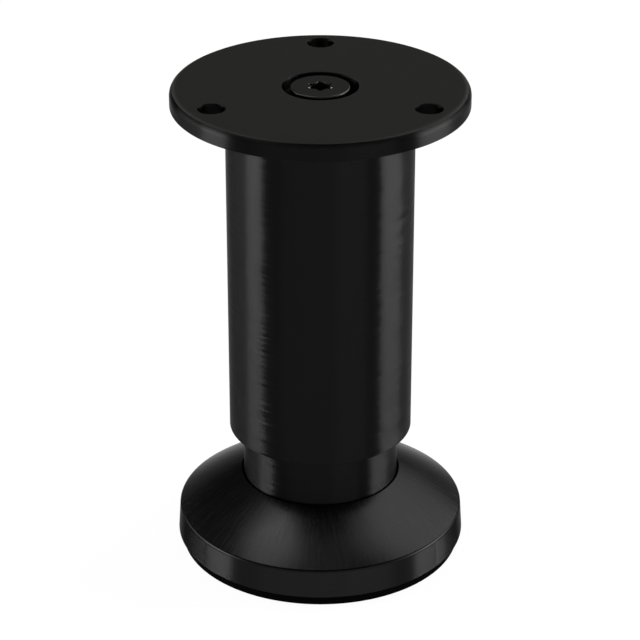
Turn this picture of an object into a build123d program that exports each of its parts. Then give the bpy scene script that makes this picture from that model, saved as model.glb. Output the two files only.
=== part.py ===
from build123d import *
import os
from math import cos, hypot, radians, sqrt, tan

# Round furniture leg, adjustable in height: a mounting plate screwed to a brushed tube, and a
# domed foot on a spindle, which screws in and out while a sleeve telescopes in the tube.
# Millimetres. +Z is up, and the origin is on the floor, on the leg's axis.

# Mounting plate
PLATE_DIAMETER = 78.7
PLATE_THICKNESS = 4.8
PLATE_ROLL = 1.85  # rounding of the top edge, which the stamping leaves
PLATE_EDGE = 0.3  # chamfer round the lower edge, the holes and the recess
FIXING_HOLE_DIAMETER = 7.2
FIXING_HOLE_INSET = 7.35  # from the plate's edge to the centre of a hole
FIXING_HOLE_COUNT = 3
FIRST_HOLE_ANGLE = 90.0  # degrees from +X, so one hole is at the back
RECESS_DIAMETER = 20.0  # flat-bottomed recess that the screw head lies in
RECESS_WEB = 1.6  # plate that is left under the screw head

# Plate screw, M8, with a six-lobe drive
SCREW_DIAMETER = 8.0
SCREW_LENGTH = 16.0  # under the head
SCREW_HEAD_DIAMETER = 15.6
SCREW_HEAD_SUNK = 0.05  # below the plate's face
SCREW_HEAD_ROUND = 0.4
SCREW_HOLE_PLAY = 0.3  # radial, round the shank
DRIVE_TIP_DIAMETER = 6.75  # across the lobes
DRIVE_ROOT_DIAMETER = 4.85  # across the flutes between them
DRIVE_FLUTE_RADIUS = 1.4
DRIVE_LOBE_COUNT = 6
DRIVE_FLOOR = 0.5  # head that is left under the drive

# Outer tube
TUBE_DIAMETER = 50.0
TUBE_WALL = 1.5
TUBE_LENGTH = 94.4
TUBE_EDGE = 0.3  # rounding of the outer edges at both ends

# Ribbed moulded plugs pressed into the tube
INSERT_SKIN = 2.2  # outer wall
INSERT_DECK = 3.0  # top plate
INSERT_BOSS_WALL = 2.5  # outside the corners of the nut
INSERT_RIB_THICKNESS = 2.0
INSERT_RIB_COUNT = 6
RIB_OVERLAP = 1.0  # how far the ribs of a moulding run into its walls
TOP_INSERT_HEIGHT = 16.0
TOP_INSERT_CEILING = 6.0  # from the plug's top to the nut
LOWER_INSERT_HEIGHT = 18.0
LOWER_INSERT_CEILING = 6.0
SPINDLE_HOLE_PLAY = 0.4  # radial, where the spindle only passes through

# Nuts, washer and spindle
PLATE_NUT_ACROSS_FLATS = 13.0
PLATE_NUT_HEIGHT = 6.8
SPINDLE_DIAMETER = 10.0
SPINDLE_ACROSS_FLATS = 16.0  # of its head and both its nuts
SPINDLE_HEAD_HEIGHT = 6.4
SPINDLE_NUT_HEIGHT = 8.4
SPINDLE_END_CHAMFER = 1.0
SPINDLE_SPARE = 0.9  # above its nut when the foot is screwed right out
CLAMP_NUT_HEIGHT = 5.0
WASHER_DIAMETER = 20.0
WASHER_THICKNESS = 2.0
WASHER_BORE_PLAY = 0.25
THREAD_PLAY = 0.05  # radial, threads are plain cylinders at their outer diameter
HEXAGON_CHAMFER = 1.0

# Foot
FOOT_DIAMETER = 79.5  # at the rim's lower edge
FOOT_RIM_HEIGHT = 7.9
FOOT_RIM_DRAFT = 3.7  # degrees, the rim leans in towards its top
FOOT_CROWN_RISE = 10.5  # from the rim's top to the edge of the hole
FOOT_CROWN_BULGE = 0.5  # how far the crown swells above a straight cone
FOOT_SKIN = 1.5
FOOT_CORNER_ROUND = 1.0
FOOT_EDGE_ROUND = 0.3
FOOT_HOLE_PLAY = 0.35  # radial, round the sleeve
PAD_INSET = 1.15  # from the foot's lower edge
PAD_THICKNESS = 3.0
PAD_EDGE_ROUND = 0.4

# Moulded base inside the foot
BASE_FLOOR = 3.0
BASE_SKIRT_WALL = 2.0
BASE_SKIRT_DROP = 2.4  # from the rim's top down to the skirt's top
BASE_BOSS_WALL = 2.5  # outside the corners of the spindle's head
BASE_BOSS_WEB = 6.0  # over the spindle's head
BASE_HEAD_INSET = 0.6  # of the spindle's head from the base's underside
BASE_RING_WALL = 4.0  # ring under the sleeve's flange
BASE_RIB_THICKNESS = 2.0
BASE_RIB_COUNT = 8

# Telescoping sleeve and its two guides
BUSH_WALL = 2.15
BUSH_HEIGHT = 10.0
BUSH_INSET = 0.5  # from the tube's lower end
BUSH_LEAD = 0.6  # chamfer inside its lower end
SLIDING_PLAY = 0.1  # radial, at both guides
SLEEVE_WALL = 1.5
FLANGE_WIDTH = 2.15
FLANGE_THICKNESS = 1.2
FLANGE_PLAY = 0.4  # under the foot's skin
FLANGE_SEAT_PLAY = 0.1  # over the base's ring
GUIDE_HEAD_HEIGHT = 3.0
GUIDE_SPIGOT_LENGTH = 6.0
GUIDE_SPIGOT_WALL = 2.0

# Height adjustment, counted from how the leg stands here
STANDING_GAP = 14.0  # between the tube and the edge of the foot's hole
CLOSED_GAP = 0.35  # the same gap with the foot screwed right in
SCREW_OUT = 6.35  # travel left before the sleeve guide meets the bush
STOP_PLAY = 0.5
INSERT_PLAY = 1.5  # over the sleeve guide, with the foot screwed right in

ON_BASE = (Align.CENTER, Align.CENTER, Align.MIN)


def ring(inner, outer, bottom, top):
    """Upright tube between two radii and two heights."""
    height = top - bottom
    wall = Cylinder(outer, height, align=ON_BASE)
    if inner > 0:
        wall -= Cylinder(inner, height, align=ON_BASE)
    return Pos(0, 0, bottom) * wall


def hexagon(across_flats, bottom, top):
    """Upright six-sided bar."""
    outline = RegularPolygon(across_flats / 2, 6, major_radius=False)
    return Pos(0, 0, bottom) * extrude(outline, top - bottom)


def corner_radius(across_flats):
    """Radius over the corners of a hexagon."""
    return across_flats / 2 / cos(radians(30))


def edges_at_radius(solid, radius):
    """The solid's circular edges of one radius, the lowest first."""
    circles = solid.edges().filter_by(GeomType.CIRCLE).sort_by(Axis.Z)
    return [edge for edge in circles if abs(edge.radius - radius) < 1e-4]


def turned_hexagon(across_flats, bottom, top):
    """Hexagon with its corners turned off at both faces."""
    blank = ring(0, corner_radius(across_flats), bottom, top)
    blank = chamfer(edges_at_radius(blank, corner_radius(across_flats)), HEXAGON_CHAMFER)
    return blank & hexagon(across_flats, bottom, top)


def nut(across_flats, thread_diameter, bottom, top):
    """Hexagon nut on the leg's axis."""
    bore = ring(0, thread_diameter / 2 + THREAD_PLAY, bottom, top)
    return turned_hexagon(across_flats, bottom, top) - bore


def radial_ribs(count, thickness, inner, outer, bottom, top):
    """Upright ribs that run outwards, evenly spaced."""
    size = (outer - inner, thickness, top - bottom)
    rib = Pos(inner, 0, bottom) * Box(*size, align=(Align.MIN, Align.CENTER, Align.MIN))
    return [Rot(0, 0, 360 / count * index) * rib for index in range(count)]


# Radii that fit one another, from the tube inwards
tube_outer = TUBE_DIAMETER / 2
tube_inner = tube_outer - TUBE_WALL
bush_inner = tube_inner - BUSH_WALL
sleeve_outer = bush_inner - SLIDING_PLAY
sleeve_inner = sleeve_outer - SLEEVE_WALL
flange_outer = sleeve_outer + FLANGE_WIDTH
foot_hole_radius = sleeve_outer + FOOT_HOLE_PLAY
spindle_radius = SPINDLE_DIAMETER / 2

# Outline of the foot: the crown is an arc from the rim's corner to the edge of the hole
rim_slope = tan(radians(FOOT_RIM_DRAFT))
rim_bottom = PAD_THICKNESS
rim_top = rim_bottom + FOOT_RIM_HEIGHT
rim_corner = FOOT_DIAMETER / 2 - FOOT_RIM_HEIGHT * rim_slope
foot_top = rim_top + FOOT_CROWN_RISE
crown_run = rim_corner - foot_hole_radius
crown_chord = hypot(crown_run, FOOT_CROWN_RISE)
crown_radius = (crown_chord**2 / 4 + FOOT_CROWN_BULGE**2) / (2 * FOOT_CROWN_BULGE)
crown_depth = crown_radius - FOOT_CROWN_BULGE
crown_x = (rim_corner + foot_hole_radius) / 2 - crown_depth * FOOT_CROWN_RISE / crown_chord
crown_z = (rim_top + foot_top) / 2 - crown_depth * crown_run / crown_chord


def under_crown(radius, inset):
    """Height of the crown at a radius, with the foot's surface pulled in by inset."""
    return crown_z + sqrt((crown_radius - inset) ** 2 - (radius - crown_x) ** 2)


def foot_section(inset):
    """Half section of all that the foot's surface covers, pulled in by inset."""
    crown = Pos(crown_x, crown_z) * Circle(crown_radius - inset)
    lean = inset / cos(radians(FOOT_RIM_DRAFT))
    floor_radius = FOOT_DIAMETER / 2 - lean
    roof_radius = floor_radius - (foot_top - rim_bottom) * rim_slope
    outline = [
        (0, rim_bottom),
        (floor_radius, rim_bottom),
        (roof_radius, foot_top),
        (0, foot_top),
    ]
    return crown & make_face(Polyline(*outline, close=True))


# Heights, from the floor up
skirt_top = rim_top - BASE_SKIRT_DROP
head_bottom = rim_bottom + BASE_HEAD_INSET
head_top = head_bottom + SPINDLE_HEAD_HEIGHT
boss_top = head_top + BASE_BOSS_WEB
washer_top = boss_top + WASHER_THICKNESS
clamp_nut_top = washer_top + CLAMP_NUT_HEIGHT
flange_top = under_crown(flange_outer, FOOT_SKIN) - FLANGE_PLAY
flange_bottom = flange_top - FLANGE_THICKNESS
seat_ring_top = flange_bottom - FLANGE_SEAT_PLAY
tube_bottom = foot_top + STANDING_GAP
tube_top = tube_bottom + TUBE_LENGTH
plate_top = tube_top + PLATE_THICKNESS
bush_bottom = tube_bottom + BUSH_INSET
bush_top = bush_bottom + BUSH_HEIGHT
sleeve_top = bush_top + SCREW_OUT + STOP_PLAY
guide_top = sleeve_top + GUIDE_HEAD_HEIGHT
screw_in = STANDING_GAP - CLOSED_GAP
lower_insert_bottom = guide_top + screw_in + INSERT_PLAY
lower_insert_top = lower_insert_bottom + LOWER_INSERT_HEIGHT
spindle_nut_top = lower_insert_top - LOWER_INSERT_CEILING
spindle_top = spindle_nut_top + SCREW_OUT + SPINDLE_SPARE
plate_nut_top = tube_top - TOP_INSERT_CEILING
recess_bottom = tube_top + RECESS_WEB


def make_mounting_plate():
    """Flat disc with three fixing holes and the recess for the screw head."""
    plate = ring(0, PLATE_DIAMETER / 2, tube_top, plate_top)
    plate -= ring(0, SCREW_DIAMETER / 2 + SCREW_HOLE_PLAY, tube_top, recess_bottom)
    plate -= ring(0, RECESS_DIAMETER / 2, recess_bottom, plate_top)
    circle_radius = PLATE_DIAMETER / 2 - FIXING_HOLE_INSET
    hole = Pos(circle_radius, 0, 0) * ring(0, FIXING_HOLE_DIAMETER / 2, tube_top, plate_top)
    for index in range(FIXING_HOLE_COUNT):
        angle = FIRST_HOLE_ANGLE + 360 / FIXING_HOLE_COUNT * index
        plate -= Rot(0, 0, angle) * hole
    rims = edges_at_radius(plate, PLATE_DIAMETER / 2)[:1]
    rims += edges_at_radius(plate, FIXING_HOLE_DIAMETER / 2)
    rims += edges_at_radius(plate, RECESS_DIAMETER / 2)[-1:]
    plate = chamfer(rims, PLATE_EDGE)
    return fillet(edges_at_radius(plate, PLATE_DIAMETER / 2)[-1], PLATE_ROLL)


def make_plate_screw():
    """Screw with a low round-edged head, and a six-lobe drive sunk in it."""
    head_radius = SCREW_HEAD_DIAMETER / 2
    head_face = plate_top - SCREW_HEAD_SUNK
    screw = ring(0, head_radius, recess_bottom, head_face)
    screw = fillet(screw.edges().group_by(Axis.Z)[-1], SCREW_HEAD_ROUND)
    screw += ring(0, SCREW_DIAMETER / 2, recess_bottom - SCREW_LENGTH, recess_bottom)
    drive = Circle(DRIVE_TIP_DIAMETER / 2)
    flute_distance = DRIVE_ROOT_DIAMETER / 2 + DRIVE_FLUTE_RADIUS
    for spot in PolarLocations(flute_distance, DRIVE_LOBE_COUNT):
        drive -= spot * Circle(DRIVE_FLUTE_RADIUS)
    drive_bottom = recess_bottom + DRIVE_FLOOR
    return screw - Pos(0, 0, drive_bottom) * extrude(drive, head_face - drive_bottom)


def make_tube():
    """Outer tube, its outer edges slightly rounded."""
    tube = ring(tube_inner, tube_outer, tube_bottom, tube_top)
    return fillet(edges_at_radius(tube, tube_outer), TUBE_EDGE)


def make_insert(bottom, top, ceiling, across_flats, hole_radius):
    """Ribbed plug with a deck on top and a boss that holds a nut from below."""
    pocket_top = top - ceiling
    boss_radius = corner_radius(across_flats) + INSERT_BOSS_WALL
    rib_inner = boss_radius - RIB_OVERLAP
    rib_outer = tube_inner - INSERT_SKIN + RIB_OVERLAP
    insert = ring(tube_inner - INSERT_SKIN, tube_inner, bottom, top)
    insert += ring(0, boss_radius, bottom, top)
    insert += ring(rib_inner, rib_outer, top - INSERT_DECK, top)
    ribs = radial_ribs(INSERT_RIB_COUNT, INSERT_RIB_THICKNESS, rib_inner, rib_outer, bottom, top)
    for rib in ribs:
        insert += rib
    insert -= hexagon(across_flats, bottom, pocket_top)
    return insert - ring(0, hole_radius, pocket_top, top)


def make_guide_bush():
    """Ring in the tube's mouth, with a lead for the sleeve."""
    bush = ring(bush_inner, tube_inner, bush_bottom, bush_top)
    return chamfer(edges_at_radius(bush, bush_inner)[0], BUSH_LEAD)


def make_sleeve():
    """Telescoping tube with an outward flange that the foot's skin holds."""
    sleeve = ring(sleeve_inner, sleeve_outer, flange_bottom, sleeve_top)
    return sleeve + ring(sleeve_inner, flange_outer, flange_bottom, flange_top)


def make_sleeve_guide():
    """Ring that plugs into the sleeve's top end and slides in the tube."""
    guide_inner = sleeve_inner - GUIDE_SPIGOT_WALL
    guide = ring(guide_inner, tube_inner - SLIDING_PLAY, sleeve_top, guide_top)
    return guide + ring(guide_inner, sleeve_inner, sleeve_top - GUIDE_SPIGOT_LENGTH, sleeve_top)


def make_foot_disc():
    """Domed skin of even thickness, open below, with a hole round the sleeve."""
    section = foot_section(0) - foot_section(FOOT_SKIN)
    hole = Pos(foot_hole_radius / 2, 0) * Rectangle(foot_hole_radius, 4 * foot_top)
    section -= hole
    corners = section.vertices()
    section = fillet(corners.sort_by_distance((rim_corner, rim_top))[0], FOOT_CORNER_ROUND)
    corners = section.vertices()
    section = fillet(corners.sort_by_distance((foot_hole_radius, foot_top))[0], FOOT_EDGE_ROUND)
    return revolve(Plane.XZ * section, Axis.Z)


def make_foot_base():
    """Ribbed moulding that fills the foot's rim and carries the spindle and the sleeve."""
    below_skirt_top = Pos(0, skirt_top - foot_top) * Rectangle(2 * FOOT_DIAMETER, 2 * foot_top)
    skirt = foot_section(FOOT_SKIN) & below_skirt_top
    base = revolve(Plane.XZ * skirt, Axis.Z)
    skirt_inner = rim_corner - FOOT_SKIN - BASE_SKIRT_WALL
    base -= ring(0, skirt_inner, rim_bottom + BASE_FLOOR, skirt_top)
    boss_radius = corner_radius(SPINDLE_ACROSS_FLATS) + BASE_BOSS_WALL
    base += ring(0, boss_radius, rim_bottom, boss_top)
    base += ring(flange_outer - BASE_RING_WALL, flange_outer, rim_bottom, seat_ring_top)
    rib_inner, rib_outer = boss_radius - RIB_OVERLAP, skirt_inner + RIB_OVERLAP
    ribs = radial_ribs(
        BASE_RIB_COUNT, BASE_RIB_THICKNESS, rib_inner, rib_outer, rim_bottom, skirt_top
    )
    for rib in ribs:
        base += rib
    base -= hexagon(SPINDLE_ACROSS_FLATS, rim_bottom, head_top)
    return base - ring(0, spindle_radius + SPINDLE_HOLE_PLAY, head_top, boss_top)


def make_foot_pad():
    """Thin round pad that the leg stands on."""
    pad = ring(0, FOOT_DIAMETER / 2 - PAD_INSET, 0, PAD_THICKNESS)
    return fillet(pad.edges().group_by(Axis.Z)[0], PAD_EDGE_ROUND)


def make_spindle():
    """Long hexagon-head bolt that points up."""
    shank = ring(0, spindle_radius, head_top, spindle_top)
    shank = chamfer(shank.edges().group_by(Axis.Z)[-1], SPINDLE_END_CHAMFER)
    return shank + turned_hexagon(SPINDLE_ACROSS_FLATS, head_bottom, head_top)


parts = {
    "mounting_plate": make_mounting_plate(),
    "plate_screw": make_plate_screw(),
    "tube": make_tube(),
    "top_insert": make_insert(
        tube_top - TOP_INSERT_HEIGHT,
        tube_top,
        TOP_INSERT_CEILING,
        PLATE_NUT_ACROSS_FLATS,
        SCREW_DIAMETER / 2 + SCREW_HOLE_PLAY,
    ),
    "plate_nut": nut(
        PLATE_NUT_ACROSS_FLATS, SCREW_DIAMETER, plate_nut_top - PLATE_NUT_HEIGHT, plate_nut_top
    ),
    "lower_insert": make_insert(
        lower_insert_bottom,
        lower_insert_top,
        LOWER_INSERT_CEILING,
        SPINDLE_ACROSS_FLATS,
        spindle_radius + SPINDLE_HOLE_PLAY,
    ),
    "spindle_nut": nut(
        SPINDLE_ACROSS_FLATS,
        SPINDLE_DIAMETER,
        spindle_nut_top - SPINDLE_NUT_HEIGHT,
        spindle_nut_top,
    ),
    "guide_bush": make_guide_bush(),
    "sleeve": make_sleeve(),
    "sleeve_guide": make_sleeve_guide(),
    "foot_disc": make_foot_disc(),
    "foot_base": make_foot_base(),
    "foot_pad": make_foot_pad(),
    "spindle": make_spindle(),
    "clamp_washer": ring(
        spindle_radius + WASHER_BORE_PLAY, WASHER_DIAMETER / 2, boss_top, washer_top
    ),
    "clamp_nut": nut(SPINDLE_ACROSS_FLATS, SPINDLE_DIAMETER, washer_top, clamp_nut_top),
}

os.makedirs("parts", exist_ok=True)
for name, solid in parts.items():
    solid.label = name
    export_step(solid, f"parts/{name}.step")
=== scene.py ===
import logging
import math
from abc import ABC, abstractmethod
from collections.abc import Callable, Sequence
from dataclasses import dataclass, field
from enum import Enum
from typing import Any

import bmesh
import bpy
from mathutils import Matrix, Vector


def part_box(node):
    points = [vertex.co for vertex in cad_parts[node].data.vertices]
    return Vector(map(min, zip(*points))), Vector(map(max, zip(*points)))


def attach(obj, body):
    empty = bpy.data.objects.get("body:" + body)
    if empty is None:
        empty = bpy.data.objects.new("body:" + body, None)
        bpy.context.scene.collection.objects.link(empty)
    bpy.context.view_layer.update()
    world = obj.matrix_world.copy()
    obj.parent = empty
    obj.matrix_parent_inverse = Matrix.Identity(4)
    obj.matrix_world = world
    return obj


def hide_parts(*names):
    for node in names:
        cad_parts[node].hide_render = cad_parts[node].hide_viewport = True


# Round furniture leg, adjustable in height: the looks of its pieces, the studio that it stands
# in and the camera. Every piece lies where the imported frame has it. Sizes are in millimetres
# and become metres when a mesh is made. +Z is up, and the viewer of the photo is at -Y.

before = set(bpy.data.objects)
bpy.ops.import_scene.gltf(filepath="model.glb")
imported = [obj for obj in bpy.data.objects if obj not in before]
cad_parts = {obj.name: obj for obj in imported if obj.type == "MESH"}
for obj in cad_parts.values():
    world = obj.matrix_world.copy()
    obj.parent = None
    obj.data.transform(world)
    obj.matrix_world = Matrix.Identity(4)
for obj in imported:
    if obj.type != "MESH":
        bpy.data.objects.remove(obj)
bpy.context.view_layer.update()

MM = 0.001
FULL_TURN = 2 * math.pi

# A noise texture keeps mostly between these two values
NOISE_LOW = 0.25
NOISE_HIGH = 0.75
# Rings of vertices to each turn of a screw thread
RINGS_PER_PITCH = 12

Outline = Callable[[float], float]
Ring = tuple[float | Outline, float]
Section = list[tuple[float, float]]
Corner = tuple[float, float, float]
Vertices = list[bmesh.types.BMVert]
Faces = list[bmesh.types.BMFace]
Colour = tuple[float, float, float, float]

log = logging.getLogger("furniture_leg")


def linear(hex_colour: str) -> Colour:
    """Turn an sRGB colour into the linear one that shaders take.

    Args:
        hex_colour: the colour as "#rrggbb"

    Returns:
        Red, green, blue and an alpha of 1.
    """
    knee, slope, offset, gamma = 0.04045, 12.92, 0.055, 2.4
    shares = [int(hex_colour[i : i + 2], 16) / 255 for i in (1, 3, 5)]
    red, green, blue = (
        share / slope if share <= knee else ((share + offset) / (1 + offset)) ** gamma
        for share in shares
    )
    return red, green, blue, 1.0


def add_node(
    tree: bpy.types.NodeTree,
    kind: str,
    settings: dict[str, Any] | None = None,
    values: dict[str | int, Any] | None = None,
    links: dict[str | int, tuple[bpy.types.Node, str | int]] | None = None,
) -> bpy.types.Node:
    """Add a shader node with its settings and links.

    Args:
        tree: the node tree it goes into
        kind: its type, without the leading "ShaderNode"
        settings: attributes of the node
        values: constants for its input sockets
        links: for an input socket, the node and output that feed it

    Returns:
        The new node.
    """
    node = tree.nodes.new("ShaderNode" + kind)
    for name, value in (settings or {}).items():
        setattr(node, name, value)
    for socket, value in (values or {}).items():
        node.inputs[socket].default_value = value
    for socket, (source, output) in (links or {}).items():
        tree.links.new(source.outputs[output], node.inputs[socket])
    return node


class Brushing(Enum):
    """Which way the brush ran over a round piece."""

    AROUND = "around the axis"
    OUTWARD = "from the axis outwards"


@dataclass(frozen=True)
class Finish(ABC):
    """What every finish has: a name, a colour and the shader's plain values."""

    name: str
    colour: str
    roughness: float
    metallic: float = 0.0
    ior: float = 1.5
    specular: float = 0.5
    edge_tint: float = 1.0

    @abstractmethod
    def material(self) -> bpy.types.Material:
        """Make the material."""

    def shader(self) -> tuple[bpy.types.Material, bpy.types.NodeTree, bpy.types.Node]:
        """Start the material.

        Returns:
            The material, its node tree and its principled shader.
        """
        material = bpy.data.materials.new(self.name)
        material.use_nodes = True
        tree = material.node_tree
        tree.nodes.clear()
        tint = (self.edge_tint, self.edge_tint, self.edge_tint, 1.0)
        values: dict[str | int, Any] = {
            "Base Color": linear(self.colour),
            "Metallic": self.metallic,
            "Roughness": self.roughness,
            "Specular IOR Level": self.specular,
            "Specular Tint": tint,
        }
        if self.metallic < 1:
            values["IOR"] = self.ior
        surface = add_node(tree, "BsdfPrincipled", values=values)
        add_node(tree, "OutputMaterial", links={"Surface": (surface, "BSDF")})
        material.diffuse_color = linear(self.colour)
        return material, tree, surface

    def vary(
        self,
        tree: bpy.types.NodeTree,
        surface: bpy.types.Node,
        pattern: bpy.types.Node,
        roughness_swing: float,
        shade_swing: float,
        relief_mm: float,
    ) -> None:
        """Let a grey pattern steer roughness, shade and relief.

        Args:
            tree: the material's node tree
            surface: its principled shader
            pattern: the node whose first output is the pattern, about 0 to 1
            roughness_swing: how far roughness goes either way
            shade_swing: how far the colour goes either way, as a share of it
            relief_mm: height of the pattern on the surface
        """
        rough = add_node(
            tree,
            "MapRange",
            values={
                "From Min": NOISE_LOW,
                "From Max": NOISE_HIGH,
                "To Min": self.roughness - roughness_swing,
                "To Max": self.roughness + roughness_swing,
            },
            links={"Value": (pattern, 0)},
        )
        tree.links.new(rough.outputs[0], surface.inputs["Roughness"])
        shade = add_node(
            tree,
            "MapRange",
            values={
                "From Min": NOISE_LOW,
                "From Max": NOISE_HIGH,
                "To Min": 1 - shade_swing,
                "To Max": 1 + shade_swing,
            },
            links={"Value": (pattern, 0)},
        )
        tinted = add_node(
            tree,
            "VectorMath",
            settings={"operation": "SCALE"},
            values={0: linear(self.colour)[:3]},
            links={"Scale": (shade, 0)},
        )
        tree.links.new(tinted.outputs[0], surface.inputs["Base Color"])
        if relief_mm > 0:
            bump = add_node(
                tree,
                "Bump",
                values={"Strength": 1.0, "Distance": relief_mm * MM},
                links={"Height": (pattern, 0)},
            )
            tree.links.new(bump.outputs[0], surface.inputs["Normal"])


@dataclass(frozen=True)
class BrushedSteel(Finish):
    """Steel brushed in one direction and stained black under a thin clear lacquer.

    The stain leaves a very dark metal. The hairlines stretch each reflection across
    themselves, so a lamp shows as a long soft band. Where they wander, as on the tube, the
    band's borders turn ragged. Real ones are 0.02 to 0.05 mm apart, too fine to show, and
    are drawn some ten times as coarse.
    """

    brushing: Brushing = Brushing.AROUND
    anisotropy: float = 0.8
    hairline_mm: float = 0.3
    stroke_mm: float = 25.0
    roughness_swing: float = 0.06
    shade_swing: float = 0.15
    relief_mm: float = 0.002
    mid_radius_mm: float = 30.0
    wander_degrees: float = 0.0
    detail: float = 3.0
    detail_share: float = 0.6

    def direction(self, tree: bpy.types.NodeTree) -> bpy.types.Node:
        """Lay out coordinates in which a plain noise becomes hairlines.

        Args:
            tree: the material's node tree

        Returns:
            A node whose first output is the coordinate.
        """
        place = add_node(tree, "TexCoord")
        across = 1 / (self.hairline_mm * MM)
        along = 1 / (self.stroke_mm * MM)
        if self.brushing is Brushing.AROUND:
            return add_node(
                tree,
                "VectorMath",
                settings={"operation": "MULTIPLY"},
                values={1: (along, along, across)},
                links={0: (place, "Object")},
            )
        flat = add_node(
            tree,
            "VectorMath",
            settings={"operation": "MULTIPLY"},
            values={1: (1, 1, 0)},
            links={0: (place, "Object")},
        )
        bearing = add_node(
            tree, "VectorMath", settings={"operation": "NORMALIZE"}, links={0: (flat, 0)}
        )
        spread = add_node(
            tree,
            "VectorMath",
            settings={"operation": "SCALE"},
            values={"Scale": self.mid_radius_mm * MM * across},
            links={0: (bearing, 0)},
        )
        reach = add_node(
            tree, "VectorMath", settings={"operation": "LENGTH"}, links={0: (flat, 0)}
        )
        outward = add_node(
            tree,
            "Math",
            settings={"operation": "MULTIPLY"},
            values={1: along},
            links={0: (reach, "Value")},
        )
        lift = add_node(tree, "CombineXYZ", links={"Z": (outward, 0)})
        return add_node(
            tree,
            "VectorMath",
            settings={"operation": "ADD"},
            links={0: (spread, 0), 1: (lift, 0)},
        )

    def material(self) -> bpy.types.Material:
        """Make the material.

        Returns:
            The finished material.
        """
        material, tree, surface = self.shader()
        hairlines = add_node(
            tree,
            "TexNoise",
            values={"Scale": 1.0, "Detail": self.detail, "Roughness": self.detail_share},
            links={"Vector": (self.direction(tree), 0)},
        )
        self.vary(
            tree, surface, hairlines, self.roughness_swing, self.shade_swing, self.relief_mm
        )
        around = add_node(tree, "Tangent", settings={"direction_type": "RADIAL", "axis": "Z"})
        tree.links.new(around.outputs[0], surface.inputs["Tangent"])
        surface.inputs["Anisotropic"].default_value = self.anisotropy
        quarter_turn = 0.25 if self.brushing is Brushing.AROUND else 0.0
        surface.inputs["Anisotropic Rotation"].default_value = quarter_turn
        if self.wander_degrees > 0:
            swing = self.wander_degrees / 360
            wander = add_node(
                tree,
                "MapRange",
                values={
                    "From Min": NOISE_LOW,
                    "From Max": NOISE_HIGH,
                    "To Min": quarter_turn - swing,
                    "To Max": quarter_turn + swing,
                },
                links={"Value": (hairlines, 0)},
            )
            tree.links.new(wander.outputs[0], surface.inputs["Anisotropic Rotation"])
        return material


@dataclass(frozen=True)
class GrainedFinish(Finish):
    """Moulded, coated or plated surface with an even fine grain and a faint cloudiness.

    The real grain is 0.03 to 0.1 mm, too fine to show, and is drawn some five times as coarse.
    """

    grain_mm: float = 0.25
    cloud_mm: float = 8.0
    cloud_share: float = 0.3
    roughness_swing: float = 0.05
    shade_swing: float = 0.06
    relief_mm: float = 0.003
    detail: float = 2.0
    detail_share: float = 0.5

    def material(self) -> bpy.types.Material:
        """Make the material.

        Returns:
            The finished material.
        """
        material, tree, surface = self.shader()
        place = add_node(tree, "TexCoord")
        noise = {"Detail": self.detail, "Roughness": self.detail_share}
        grain = add_node(
            tree,
            "TexNoise",
            values={"Scale": 1 / (self.grain_mm * MM), **noise},
            links={"Vector": (place, "Object")},
        )
        clouds = add_node(
            tree,
            "TexNoise",
            values={"Scale": 1 / (self.cloud_mm * MM), **noise},
            links={"Vector": (place, "Object")},
        )
        both = add_node(
            tree,
            "Mix",
            settings={"data_type": "FLOAT"},
            values={0: self.cloud_share},
            links={2: (grain, 0), 3: (clouds, 0)},
        )
        self.vary(tree, surface, both, self.roughness_swing, self.shade_swing, self.relief_mm)
        return material


# Powder coat, sprayed and baked: an even matt black, slightly warm, dull at a low angle too
PLATE_COAT = GrainedFinish("powder_coat_matt", "#272725", 0.8, specular=0.0)
# Turned edge under the same coat, which lies thinner and glossier there. The same dark finish also
# goes on the floor of the screw's recess and on the walls of the fixing holes, as painted shade in
# these hollows
PLATE_EDGE_COAT_AND_HOLLOW_SHADE = BrushedSteel(
    "powder_coat_turned_edge_and_hollow_shade", "#141414", 0.38, metallic=1.0, edge_tint=0.48, anisotropy=1.0
)
# Black oxide on the forged face of a screw: dull, nearly black
SCREW_OXIDE = GrainedFinish("black_oxide_dull", "#252524", 0.8, specular=0.0)
# The same oxide rubbed thin on the screw's edges, where dark steel shines through
SCREW_EDGE = GrainedFinish(
    "black_oxide_rubbed", "#383837", 0.34, metallic=1.0, edge_tint=0.5, relief_mm=0.001
)
# Stainless steel tube, brushed round its axis and stained black
TUBE_STEEL = BrushedSteel(
    "brushed_black_steel",
    "#161616",
    0.36,
    metallic=1.0,
    edge_tint=0.48,
    anisotropy=1.0,
    hairline_mm=0.33,
    roughness_swing=0.08,
    wander_degrees=10.0,
)
# The same steel, pressed, its crown brushed from the hole to the rim. Crown, rim and corner get
# lighter or darker colours by which way they face: painted light and shade
CROWN_STEEL = BrushedSteel(
    "pressed_steel_brushed_outward",
    "#292929",
    0.26,
    metallic=1.0,
    edge_tint=0.45,
    brushing=Brushing.OUTWARD,
    anisotropy=0.3,
    stroke_mm=6.0,
    hairline_mm=0.6,
    roughness_swing=0.05,
    shade_swing=0.08,
    relief_mm=0.0012,
)
# The rim of the pressed foot, brushed round, its colour darker than the crown's: painted shade on
# the upright faces
SHADED_RIM_STEEL = BrushedSteel(
    "pressed_steel_brushed_rim_painted_shade",
    "#1d1d1d",
    0.30,
    metallic=1.0,
    edge_tint=0.33,
    anisotropy=1.0,
    roughness_swing=0.03,
    shade_swing=0.08,
    relief_mm=0.0012,
)
# Its corner between the two, which no brush reached, coloured darkest of the three: painted shade
# on the rolled corner
SHADED_CORNER_STEEL = GrainedFinish(
    "pressed_steel_corner_painted_shade", "#121212", 0.33, metallic=1.0, edge_tint=0.45, relief_mm=0.0
)
# Foamed rubber, cut from sheet: no gloss at all
PAD_RUBBER = GrainedFinish("foam_rubber_cut", "#040404", 0.9, specular=0.0, grain_mm=0.5)
# Glass-filled nylon, injection moulded: dark grey with a slight sheen
MOULDED_NYLON = GrainedFinish("nylon_moulded", "#2b2b2c", 0.5, ior=1.53, grain_mm=0.4)
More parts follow.
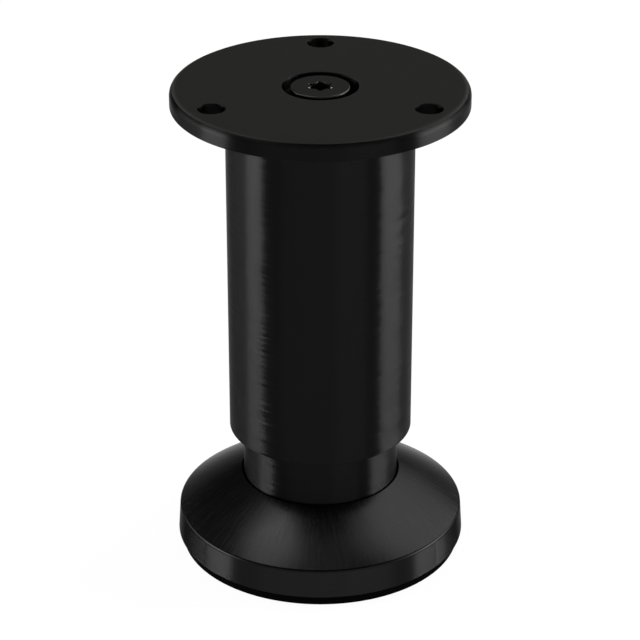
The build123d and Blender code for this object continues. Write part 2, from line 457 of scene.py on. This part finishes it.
# Zinc plate on cold-formed steel: dull silver with a cloudy passivation
ZINC_PLATE = GrainedFinish(
    "zinc_plated_steel",
    "#cfd2d4",
    0.32,
    metallic=1.0,
    grain_mm=0.6,
    cloud_mm=4.0,
    cloud_share=0.6,
    roughness_swing=0.08,
)


def soften(corners: Sequence[Corner]) -> Section:
    """Round the corners of a half section.

    Each rounding gets close neighbours on both sides, so that the flats beside it shade flat.

    Args:
        corners: radius, height and rounding of each corner, in order

    Returns:
        The points of the rounded line, as radius and height.
    """
    steps = 5
    neighbour_mm = 0.12
    points = []
    for index, (radius, height, rounding) in enumerate(corners):
        corner = Vector((radius, height))
        if rounding <= 0 or index in (0, len(corners) - 1):
            points.append((radius, height))
            continue
        before = Vector(corners[index - 1][:2]) - corner
        after = Vector(corners[index + 1][:2]) - corner
        half = before.angle(after) / 2
        back = rounding / math.tan(half)
        ends = [
            corner + leg.normalized() * (back + gap)
            for leg, gap in ((before, neighbour_mm), (before, 0), (after, 0), (after, neighbour_mm))
        ]
        if before.length > back + 2 * neighbour_mm:
            points.append(tuple(ends[0]))
        inward = (before.normalized() + after.normalized()).normalized()
        centre = corner + inward * (rounding / math.sin(half))
        first, last = ends[1] - centre, ends[2] - centre
        for step in range(steps + 1):
            share = step / steps
            spoke = first.slerp(last, share).normalized() * rounding
            points.append(tuple(centre + spoke))
        if after.length > back + 2 * neighbour_mm:
            points.append(tuple(ends[3]))
    return points


@dataclass
class Turning:
    """A mesh in the making, of rings of vertices about upright axes."""

    segments: int = 240
    crease_degrees: float = 32.0
    mesh: bmesh.types.BMesh = field(default_factory=bmesh.new)

    def ring(self, radius: float | Outline, height: float, centre: Vector) -> Vertices:
        """Add one ring of vertices.

        Args:
            radius: its radius, or a function from angle to radius
            height: its height
            centre: where its axis stands, as x and y

        Returns:
            The vertices in order.
        """
        vertices = []
        for index in range(self.segments):
            angle = FULL_TURN * index / self.segments
            reach = radius(angle) if callable(radius) else radius
            x = centre.x + reach * math.cos(angle)
            y = centre.y + reach * math.sin(angle)
            vertices.append(self.mesh.verts.new((x * MM, y * MM, height * MM)))
        return vertices

    def strip(
        self,
        rings: Sequence[Ring],
        centre: tuple[float, float] = (0.0, 0.0),
        closed: bool = False,
    ) -> tuple[Vertices, Vertices, Faces]:
        """Join rings, each to the next.

        Args:
            rings: radius and height of each ring
            centre: where their axis stands
            closed: whether the last joins the first again

        Returns:
            The first ring, the last ring and the new faces.
        """
        built = [self.ring(radius, height, Vector(centre)) for radius, height in rings]
        pairs = list(zip(built, built[1:]))
        if closed:
            pairs.append((built[-1], built[0]))
        faces = []
        for low, high in pairs:
            for index in range(self.segments):
                follow = (index + 1) % self.segments
                corners = (low[index], low[follow], high[follow], high[index])
                faces.append(self.mesh.faces.new(corners))
        return built[0], built[-1], faces

    def close(self, ring: Sequence[bmesh.types.BMVert]) -> None:
        """Close a ring with a fan about its middle.

        Args:
            ring: its vertices
        """
        middle = sum((vertex.co for vertex in ring), Vector()) / len(ring)
        hub = self.mesh.verts.new(middle)
        for index, vertex in enumerate(ring):
            self.mesh.faces.new((vertex, ring[(index + 1) % len(ring)], hub))

    def fill(self, rings: Sequence[Sequence[bmesh.types.BMVert]]) -> None:
        """Fill the flat face between an outer ring and the rings in it.

        Args:
            rings: the rings that bound the face
        """
        edges = []
        for ring in rings:
            for index, vertex in enumerate(ring):
                follow = ring[(index + 1) % len(ring)]
                edges.append(self.mesh.edges.get((vertex, follow)))
        bmesh.ops.triangle_fill(self.mesh, use_beauty=True, edges=edges)

    def piece(
        self, name: str, body: str, node: str, finishes: Sequence[Finish]
    ) -> bpy.types.Object:
        """Turn the mesh into a piece that stands for a CAD node.

        Args:
            name: the piece's name
            body: the body that it rides on
            node: the CAD node that it replaces
            finishes: its finishes, in the order of the faces' material index

        Returns:
            The finished object.
        """
        bmesh.ops.recalc_face_normals(self.mesh, faces=self.mesh.faces[:])
        data = bpy.data.meshes.new(name)
        self.mesh.to_mesh(data)
        self.mesh.free()
        data.shade_smooth()
        data.set_sharp_from_angle(angle=math.radians(self.crease_degrees))
        for finish in finishes:
            data.materials.append(finish.material())
        made = bpy.data.objects.new(name, data)
        bpy.context.scene.collection.objects.link(made)
        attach(made, body)
        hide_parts(node)
        log.info("%s: %d faces, rides on %s", name, len(data.polygons), body)
        return made


@dataclass(frozen=True)
class Span:
    """Outer radius and heights of a round CAD node."""

    radius: float
    bottom: float
    top: float

    @classmethod
    def of(cls, node: str) -> "Span":
        """Read a node's span from the frame.

        Args:
            node: the node's name

        Returns:
            Its span in millimetres.
        """
        low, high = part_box(node)
        return cls((high.x - low.x) / 2 / MM, low.z / MM, high.z / MM)


@dataclass(frozen=True)
class Thread:
    """Metric screw thread, as a radius that depends on angle and height."""

    radius: float
    pitch: float
    runout: float = 1.5
    depth_share: float = 0.6134
    flank_rise: float = 2.667
    crest_share: float = 0.1667

    def outline(self, height: float, start: float, end: float) -> Outline:
        """Outline of the thread at one height.

        Args:
            height: where the cut is made
            start: where the thread begins
            end: the end of the bolt, which is chamfered

        Returns:
            A function from angle to radius.
        """
        depth = self.depth_share * self.pitch
        fade = min(1.0, max(0.0, (height - start) / self.runout))
        tip = self.radius - max(0.0, depth - (end - height))

        def radius_at(angle: float) -> float:
            """Radius at an angle, from a flat-topped wave.

            Args:
                angle: where on the ring

            Returns:
                The radius there.
            """
            phase = (height / self.pitch - angle / FULL_TURN) % 1.0
            flank = self.flank_rise * abs(phase - 0.5) - self.crest_share
            return min(tip, self.radius - depth * fade * min(1.0, max(0.0, flank)))

        return radius_at


def hexagon(across_flats: float) -> Outline:
    """Outline of a hexagon.

    Args:
        across_flats: its width between flats

    Returns:
        A function from angle to radius.
    """
    sixth = FULL_TURN / 6

    def radius_at(angle: float) -> float:
        """Radius at an angle."""
        return across_flats / 2 / math.cos(angle % sixth - sixth / 2)

    return radius_at


@dataclass
class TopPlate:
    """Flat mounting plate with its three fixing holes and its screw."""

    plate: Span = field(default_factory=lambda: Span.of("mounting_plate"))
    screw: Span = field(default_factory=lambda: Span.of("plate_screw"))
    edge: float = 0.3
    roll: float = 1.85
    margin: float = 0.6
    hole_radius: float = 3.6
    hole_inset: float = 7.35
    coat_ends: float = 0.82
    rubbed_below: float = 0.98
    hole_bearings: tuple[float, ...] = (90.0, 210.0, 330.0)
    recess_radius: float = 10.0
    web: float = 1.6
    bore_radius: float = 4.3
    head_round: float = 0.4
    drive_tip: float = 3.375
    drive_root: float = 2.425
    flute_radius: float = 1.4
    drive_floor: float = 0.5
    drive_break: float = 0.12
    floor_break: float = 0.05
    floor_share: float = 0.9
    face_starts: float = 1.0
    head_break: float = 0.15
    neck: float = 1.0
    thread_starts: float = 1.2
    shank_radius: float = 4.0
    thread_pitch: float = 1.25

    def bore(self, radius: float) -> Section:
        """Half section of a plain hole through the plate, with broken edges.

        Args:
            radius: the hole's radius

        Returns:
            The section's points, from the top face to the bottom face.
        """
        outer = radius + self.margin
        top, bottom = self.plate.top, self.plate.bottom
        corners = [
            (outer, top, 0.0),
            (radius, top, self.edge),
            (radius, bottom, self.edge),
            (outer, bottom, 0.0),
        ]
        return soften(corners)

    def build_plate(self) -> None:
        """Build and dress the plate."""
        turning = Turning()
        top, bottom = self.plate.top, self.plate.bottom
        inner = self.plate.radius - self.roll - self.margin
        rim = [
            (inner, top, 0.0),
            (self.plate.radius, top, self.roll),
            (self.plate.radius, bottom, self.edge),
            (inner, bottom, 0.0),
        ]
        rim_top, rim_bottom, rim_faces = turning.strip(soften(rim))
        floor = bottom + self.web
        recess = [
            (self.recess_radius + self.margin, top, 0.0),
            (self.recess_radius, top, self.edge),
            (self.recess_radius, floor, self.edge),
            (self.bore_radius, floor, self.edge),
            (self.bore_radius, bottom, self.edge),
            (self.bore_radius + self.margin, bottom, 0.0),
        ]
        middle_top, middle_bottom, walls = turning.strip(soften(recess))
        tops, bottoms = [rim_top, middle_top], [rim_bottom, middle_bottom]
        circle = self.plate.radius - self.hole_inset
        for bearing in self.hole_bearings:
            spot = (
                circle * math.cos(math.radians(bearing)),
                circle * math.sin(math.radians(bearing)),
            )
            hole_top, hole_bottom, wall = turning.strip(self.bore(self.hole_radius), spot)
            tops.append(hole_top)
            bottoms.append(hole_bottom)
            walls += wall
        turning.fill(tops)
        turning.fill(bottoms)
        turning.mesh.normal_update()
        for face in rim_faces:
            face.material_index = int(abs(face.normal.z) < self.coat_ends)
        for face in walls:
            # Faces below the top edge, the recess floor and the hole walls, take the dark edge
            # finish: painted shade in the hollows
            below = face.calc_center_median().z < (top - 2 * self.edge) * MM
            face.material_index = int(below or abs(face.normal.z) < self.coat_ends)
        turning.piece(
            "coated_top_plate",
            "leg",
            "mounting_plate",
            [PLATE_COAT, PLATE_EDGE_COAT_AND_HOLLOW_SHADE],
        )

    def drive(self, angle: float) -> float:
        """Outline of the six-lobe drive: round lobes with a round flute between each two.

        Args:
            angle: where on the ring

        Returns:
            The radius there.
        """
        sixth = FULL_TURN / 6
        off_flute = (angle + sixth / 2) % sixth - sixth / 2
        distance = self.drive_root + self.flute_radius
        under = self.flute_radius**2 - (distance * math.sin(off_flute)) ** 2
        if under <= 0:
            return self.drive_tip
        flute = distance * math.cos(off_flute) - math.sqrt(under)
        return min(self.drive_tip, flute)

    def build_screw(self) -> None:
        """Build and dress the screw that holds the plate."""
        turning = Turning()
        seat = self.plate.bottom + self.web
        top = self.screw.top
        drive_bottom = seat + self.drive_floor
        head = self.screw.radius

        def wider(gap: float) -> Outline:
            """The drive's outline, grown by a gap."""
            return lambda angle: self.drive(angle) + gap

        cavity: list[Ring] = [
            (lambda angle: self.floor_share * self.drive(angle), drive_bottom),
            (wider(-self.floor_break), drive_bottom),
            (wider(0.0), drive_bottom + self.floor_break),
            (wider(0.0), top - self.drive_break),
            (wider(self.drive_break), top),
            (wider(2 * self.drive_break), top),
        ]
        body = [
            (self.drive_tip + self.face_starts, top, 0.0),
            (head, top, self.head_round),
            (head, seat, self.head_break),
            (self.shank_radius, seat, self.head_break),
            (self.shank_radius, seat - self.neck, 0.0),
        ]
        rings = cavity + soften(body)
        thread = Thread(self.shank_radius, self.thread_pitch)
        end = seat - self.screw.bottom
        threaded = end - self.thread_starts
        count = round(threaded / self.thread_pitch * RINGS_PER_PITCH)
        for index in range(count + 1):
            depth = self.thread_starts + threaded * index / count
            mirrored = thread.outline(depth, self.thread_starts, end)
            rings.append((lambda angle, cut=mirrored: cut(-angle), seat - depth))
        first, last, faces = turning.strip(rings)
        turning.close(first)
        turning.close(last)
        turning.mesh.normal_update()
        for face in faces:
            face.material_index = int(abs(face.normal.z) < self.rubbed_below)
        turning.piece(
            "six_lobe_screw", "leg", "plate_screw", [SCREW_OXIDE, SCREW_EDGE]
        )

    def build(self) -> None:
        """Build the plate and its screw."""
        self.build_plate()
        self.build_screw()


@dataclass
class TelescopingTubes:
    """The brushed outer tube and the sleeve that slides in it."""

    tube: Span = field(default_factory=lambda: Span.of("tube"))
    sleeve: Span = field(default_factory=lambda: Span.of("sleeve"))
    wall: float = 1.5
    tube_edge: float = 0.3
    inner_edge: float = 0.15
    sleeve_radius: float = 21.25
    flange_thickness: float = 1.2

    def build(self) -> None:
        """Build and dress both."""
        inner = self.tube.radius - self.wall
        middle = (self.tube.radius + inner) / 2
        top, bottom = self.tube.top, self.tube.bottom
        section = [
            (middle, top, 0.0),
            (self.tube.radius, top, self.tube_edge),
            (self.tube.radius, bottom, self.tube_edge),
            (inner, bottom, self.inner_edge),
            (inner, top, self.inner_edge),
            (middle, top, 0.0),
        ]
        turning = Turning()
        turning.strip(soften(section)[:-1], closed=True)
        turning.piece("brushed_tube", "leg", "tube", [TUBE_STEEL])

        outer, inner = self.sleeve_radius, self.sleeve_radius - self.wall
        middle = (outer + inner) / 2
        top, bottom = self.sleeve.top, self.sleeve.bottom
        flange_top = bottom + self.flange_thickness
        section = [
            (middle, top, 0.0),
            (outer, top, self.inner_edge),
            (outer, flange_top, self.inner_edge),
            (self.sleeve.radius, flange_top, self.inner_edge),
            (self.sleeve.radius, bottom, self.inner_edge),
            (inner, bottom, self.inner_edge),
            (inner, top, self.inner_edge),
            (middle, top, 0.0),
        ]
        turning = Turning()
        turning.strip(soften(section)[:-1], closed=True)
        turning.piece("brushed_sleeve", "sleeve", "sleeve", [TUBE_STEEL])


@dataclass
class Foot:
    """The domed foot, its pad and the spindle that stands in it."""

    disc: Span = field(default_factory=lambda: Span.of("foot_disc"))
    pad: Span = field(default_factory=lambda: Span.of("foot_pad"))
    spindle: Span = field(default_factory=lambda: Span.of("spindle"))
    rim_height: float = 7.9
    rim_draft: float = 3.7
    bulge: float = 0.5
    skin: float = 1.5
    hole_radius: float = 21.6
    crown_rise: float = 10.5
    corner_round: float = 1.0
    hole_round: float = 0.3
    crown_ends: float = 37.0
    crown_steepest: float = 0.785
    rim_starts: float = 0.15
    inner_round: float = 0.15
    pad_round: float = 0.4
    spindle_radius: float = 5.0
    head_height: float = 6.4
    head_flats: float = 16.0
    head_chamfer: float = 1.0
    thread_pitch: float = 1.5
    plain_shank: float = 14.0
    spindle_segments: int = 96
    crown_steps: int = 22
    chamfer_steps: int = 4

    def crown(self, inset: float) -> list[Corner]:
        """Section of the crown, from the rim's corner in to the hole.

        Args:
            inset: how far the line lies under the outer surface

        Returns:
            Its points with no rounding.
        """
        slope = math.tan(math.radians(self.rim_draft))
        rim_radius = self.disc.radius - self.rim_height * slope
        rim = Vector((rim_radius, self.disc.bottom + self.rim_height))
        hole = Vector((self.hole_radius, self.crown_top))
        chord = hole - rim
        radius = (chord.length_squared / 4 + self.bulge**2) / (2 * self.bulge)
        outward = Vector((chord.y, -chord.x)).normalized()
        centre = (rim + hole) / 2 - outward * (radius - self.bulge)
        lean = inset / math.cos(math.radians(self.rim_draft))
        first = self.on_crown(centre, radius - inset, rim.x - lean, slope)
        points = []
        for index in range(self.crown_steps + 1):
            x = first + (hole.x - first) * index / self.crown_steps
            height = centre.y + math.sqrt((radius - inset) ** 2 - (x - centre.x) ** 2)
            points.append((x, height, 0.0))
        return points

    def on_crown(self, centre: Vector, radius: float, start: float, slope: float) -> float:
        """Radius at which the crown's arc meets the rim's leaning wall.

        Args:
            centre: the arc's centre
            radius: the arc's radius
            start: the wall's radius at the height of the rim's corner
            slope: how far the wall leans in for each unit up

        Returns:
            The radius of the meeting point.
        """
        rounds = 8
        reach = start
        corner_height = self.disc.bottom + self.rim_height
        for _ in range(rounds):
            height = centre.y + math.sqrt(radius**2 - (reach - centre.x) ** 2)
            reach = start + (corner_height - height) * slope
        return reach

    @property
    def crown_top(self) -> float:
        """Height of the sharp edge of the crown's hole, which its rounding takes off."""
        return self.disc.bottom + self.rim_height + self.crown_rise

    def build_disc(self) -> None:
        """Build and dress the foot's skin."""
        outer, inner = self.crown(0.0), self.crown(self.skin)
        outer[0] = (*outer[0][:2], self.corner_round)
        outer[-1] = (*outer[-1][:2], self.hole_round)
        inner[-1] = (*inner[-1][:2], self.inner_round)
        bottom = self.disc.bottom
        lean = self.skin / math.cos(math.radians(self.rim_draft))
        wall_middle = self.disc.radius - lean / 2
        section = [
            (wall_middle, bottom, 0.0),
            (self.disc.radius, bottom, self.inner_round),
            *outer,
            *reversed(inner),
            (self.disc.radius - lean, bottom, self.inner_round),
            (wall_middle, bottom, 0.0),
        ]
        turning = Turning()
        _, _, faces = turning.strip(soften(section)[:-1], closed=True)
        turning.mesh.normal_update()
        finishes = [CROWN_STEEL, SHADED_RIM_STEEL, SHADED_CORNER_STEEL]
        # Each face takes the crown's, the rim's or the corner's colour by which way it faces:
        # painted light and shade on the one pressed skin
        for face in faces:
            rise = abs(face.normal.z)
            outside = face.calc_center_median().xy.length > self.crown_ends * MM
            if rise < self.rim_starts:
                face.material_index = finishes.index(SHADED_RIM_STEEL)
            elif outside and rise < self.crown_steepest:
                face.material_index = finishes.index(SHADED_CORNER_STEEL)
        turning.piece("brushed_foot_disc", "foot", "foot_disc", finishes)

    def build_pad(self) -> None:
        """Build and dress the pad under the foot."""
        turning = Turning()
        inner = self.pad.radius / 2
        section = [
            (inner, self.pad.top, 0.0),
            (self.pad.radius, self.pad.top, self.inner_round),
            (self.pad.radius, self.pad.bottom, self.pad_round),
            (inner, self.pad.bottom, 0.0),
        ]
        first, last, _ = turning.strip(soften(section))
        turning.close(first)
        turning.close(last)
        turning.piece("cut_foot_pad", "foot", "foot_pad", [PAD_RUBBER])

    def build_spindle(self) -> None:
        """Build and dress the bolt that the foot turns on."""
        turning = Turning(segments=self.spindle_segments)
        flats = hexagon(self.head_flats)
        half_side = FULL_TURN / 12
        corner = self.head_flats / 2 / math.cos(half_side)
        bottom = self.spindle.bottom
        head_top = bottom + self.head_height
        rings: list[Ring] = []
        steps = self.chamfer_steps
        turned_off = [self.head_chamfer * index / steps for index in range(steps + 1)]
        for rise in turned_off:
            limit = corner - self.head_chamfer + rise
            rings.append((lambda angle, most=limit: min(flats(angle), most), bottom + rise))
        for rise in reversed(turned_off):
            limit = corner - self.head_chamfer + rise
            rings.append((lambda angle, most=limit: min(flats(angle), most), head_top - rise))
        rings.append((self.spindle_radius, head_top))
        start = head_top + self.plain_shank
        rings.append((self.spindle_radius, start))
        thread = Thread(self.spindle_radius, self.thread_pitch)
        count = round((self.spindle.top - start) / self.thread_pitch * RINGS_PER_PITCH)
        for index in range(1, count + 1):
            height = start + (self.spindle.top - start) * index / count
            rings.append((thread.outline(height, start, self.spindle.top), height))
        first, last, _ = turning.strip(rings)
        turning.close(first)
        turning.close(last)
        turning.piece("threaded_spindle", "foot", "spindle", [ZINC_PLATE])

    def build(self) -> None:
        """Build the skin, the pad and the spindle."""
        self.build_disc()
        self.build_pad()
        self.build_spindle()


@dataclass
class InnerPieces:
    """Moulded and plated pieces inside, whose CAD shape is right and stays."""

    moulded: tuple[str, ...] = (
        "top_insert",
        "lower_insert",
        "guide_bush",
        "sleeve_guide",
        "foot_base",
    )
    plated: tuple[str, ...] = ("plate_nut", "spindle_nut", "clamp_washer", "clamp_nut")

    def build(self) -> None:
        """Dress the pieces."""
        for names, finish in ((self.moulded, MOULDED_NYLON), (self.plated, ZINC_PLATE)):
            material = finish.material()
            for name in names:
                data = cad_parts[name].data
                data.materials.clear()
                data.materials.append(material)
                log.info("%s: dressed as %s", name, finish.name)


@dataclass(frozen=True)
class Softbox:
    """A rectangular lamp that faces the leg, its angles in degrees and sizes in metres.

    The bearing is counted from the viewer to the right, and the elevation from the floor up.
    """

    name: str
    bearing: float
    elevation: float
    distance: float
    width: float
    height: float
    radiance: float
    colour: str = "#ffffff"

    def build(self, aim: Vector) -> None:
        """Hang the lamp.

        Args:
            aim: the point that it faces, in metres
        """
        lamp = bpy.data.lights.new(self.name, "AREA")
        lamp.shape = "RECTANGLE"
        lamp.size = self.width
        lamp.size_y = self.height
        lamp.energy = self.radiance * math.pi * self.width * self.height
        lamp.color = linear(self.colour)[:3]
        bearing, elevation = math.radians(self.bearing), math.radians(self.elevation)
        away = Vector(
            (
                math.cos(elevation) * math.sin(bearing),
                -math.cos(elevation) * math.cos(bearing),
                math.sin(elevation),
            )
        )
        holder = bpy.data.objects.new(self.name, lamp)
        holder.location = aim + away * self.distance
        holder.rotation_euler = away.to_track_quat("Z", "Y").to_euler()
        holder.visible_camera = False
        bpy.context.scene.collection.objects.link(holder)


@dataclass
class Studio:
    """Pale floor and backdrop, soft lamps and the camera. Its sizes are in metres.

    The floor lies a hair under the pad, so that the two faces don't coincide. The lamps are
    low strips at the sides, which draw the bright bands on the tubes, weak cards above for
    the foot's crown, and weak cards in front.
    """

    floor_radius: float = 3.0
    floor_height: float = -0.00002
    backdrop_height: float = 0.6
    stage_segments: int = 128
    floor_colour: str = "#f4f4f4"
    shine_through: float = 0.95
    world_colour: str = "#ffffff"
    world_strength: float = 0.12
    aim: tuple[float, float, float] = (0.0, 0.0, 0.0666)
    lens_mm: float = 145.25
    sensor_mm: float = 36.0
    camera_elevation: float = 26.52
    camera_distance: float = 0.7009
    camera_side: float = -0.00008
    lamps: tuple[Softbox, ...] = (
        Softbox("left_strip", -82.5, 4.5, 0.90, 0.38, 0.26, 44.0),
        Softbox("left_wide_strip", -112.0, 6.0, 0.92, 0.54, 0.20, 21.0),
        Softbox("left_top", -128.0, 67.0, 0.80, 0.42, 0.32, 1.45),
        Softbox("left_front_top", -84.0, 65.5, 0.90, 0.36, 0.38, 2.6),
        Softbox("right_strip", 91.5, 4.5, 0.90, 0.52, 0.26, 46.0, "#fdfdff"),
        Softbox("right_wide_strip", 121.0, 6.0, 0.92, 0.44, 0.20, 22.0, "#fdfdff"),
        Softbox("right_back", 130.0, 39.0, 0.90, 0.88, 0.92, 2.4, "#fcfcff"),
        Softbox("right_front_top", 90.0, 67.0, 0.90, 0.22, 0.22, 1.3, "#fcfcff"),
        Softbox("front_card", 4.0, 6.0, 1.00, 2.40, 0.34, 2.15),
        Softbox("front_right_card", 38.0, 6.0, 1.00, 0.69, 0.34, 1.6),
        Softbox("top_front", 0.0, 72.0, 0.90, 0.50, 0.50, 0.3),
    )

    def stage_material(self) -> bpy.types.Material:
        """Matt white paint that shows as plain white, apart from the leg's shadow.

        Returns:
            The material.
        """
        material = bpy.data.materials.new("studio_paint_matt")
        material.use_nodes = True
        tree = material.node_tree
        tree.nodes.clear()
        path = add_node(tree, "LightPath")
        seen = add_node(
            tree,
            "Math",
            settings={"operation": "ADD"},
            links={0: (path, "Is Camera Ray"), 1: (path, "Is Glossy Ray")},
        )
        seen = add_node(
            tree,
            "Math",
            settings={"operation": "ADD", "use_clamp": True},
            links={0: (seen, 0), 1: (path, "Is Transmission Ray")},
        )
        share = add_node(
            tree,
            "Math",
            settings={"operation": "MULTIPLY"},
            values={1: self.shine_through},
            links={0: (seen, 0)},
        )
        paint = add_node(tree, "BsdfDiffuse", values={"Color": linear(self.floor_colour)})
        glow = add_node(tree, "Emission", values={"Color": (1, 1, 1, 1), "Strength": 1.0})
        mixed = add_node(
            tree,
            "MixShader",
            links={0: (share, 0), 1: (paint, 0), 2: (glow, 0)},
        )
        add_node(tree, "OutputMaterial", links={"Surface": (mixed, 0)})
        return material

    def build_stage(self) -> None:
        """Lay the floor and stand the backdrop round it."""
        segments = self.stage_segments
        mesh = bmesh.new()
        rings = []
        for radius, height in (
            (self.floor_radius, self.floor_height),
            (self.floor_radius, self.backdrop_height),
        ):
            ring = []
            for index in range(segments):
                angle = FULL_TURN * index / segments
                spot = (radius * math.cos(angle), radius * math.sin(angle), height)
                ring.append(mesh.verts.new(spot))
            rings.append(ring)
        mesh.faces.new(rings[0])
        for index in range(segments):
            follow = (index + 1) % segments
            low, high = rings
            mesh.faces.new((low[index], low[follow], high[follow], high[index]))
        data = bpy.data.meshes.new("floor_and_backdrop")
        mesh.to_mesh(data)
        mesh.free()
        data.materials.append(self.stage_material())
        stage = bpy.data.objects.new("floor_and_backdrop", data)
        bpy.context.scene.collection.objects.link(stage)

    def build_world(self) -> None:
        """Fill the rest of the room with an even dim light."""
        world = bpy.data.worlds.new("room")
        world.use_nodes = True
        tree = world.node_tree
        tree.nodes.clear()
        light = add_node(
            tree,
            "Background",
            values={"Color": linear(self.world_colour), "Strength": self.world_strength},
        )
        add_node(tree, "OutputWorld", links={"Surface": (light, 0)})
        bpy.context.scene.world = world

    def build_camera(self) -> None:
        """Set up the camera at the photo's angle and distance."""
        lens = bpy.data.cameras.new("camera")
        lens.sensor_fit = "HORIZONTAL"
        lens.sensor_width = self.sensor_mm
        lens.lens = self.lens_mm
        camera = bpy.data.objects.new("camera", lens)
        elevation = math.radians(self.camera_elevation)
        away = Vector((0.0, -math.cos(elevation), math.sin(elevation)))
        side = Vector((self.camera_side, 0.0, 0.0))
        camera.location = Vector(self.aim) + side + away * self.camera_distance
        camera.rotation_euler = away.to_track_quat("Z", "Y").to_euler()
        bpy.context.scene.collection.objects.link(camera)
        bpy.context.scene.camera = camera

    def build(self) -> None:
        """Build the stage, the lamps, the world and the camera."""
        self.build_stage()
        self.build_world()
        for lamp in self.lamps:
            lamp.build(Vector(self.aim))
        self.build_camera()
        bpy.context.scene.view_settings.view_transform = "Standard"
        log.info("studio: %d lamps", len(self.lamps))


def main() -> None:
    """Build every piece of the leg, then the studio."""
    logging.basicConfig(level=logging.INFO, format="%(message)s")
    for assembly in (TopPlate(), TelescopingTubes(), Foot(), InnerPieces(), Studio()):
        assembly.build()


if __name__ == "__main__":
    main()
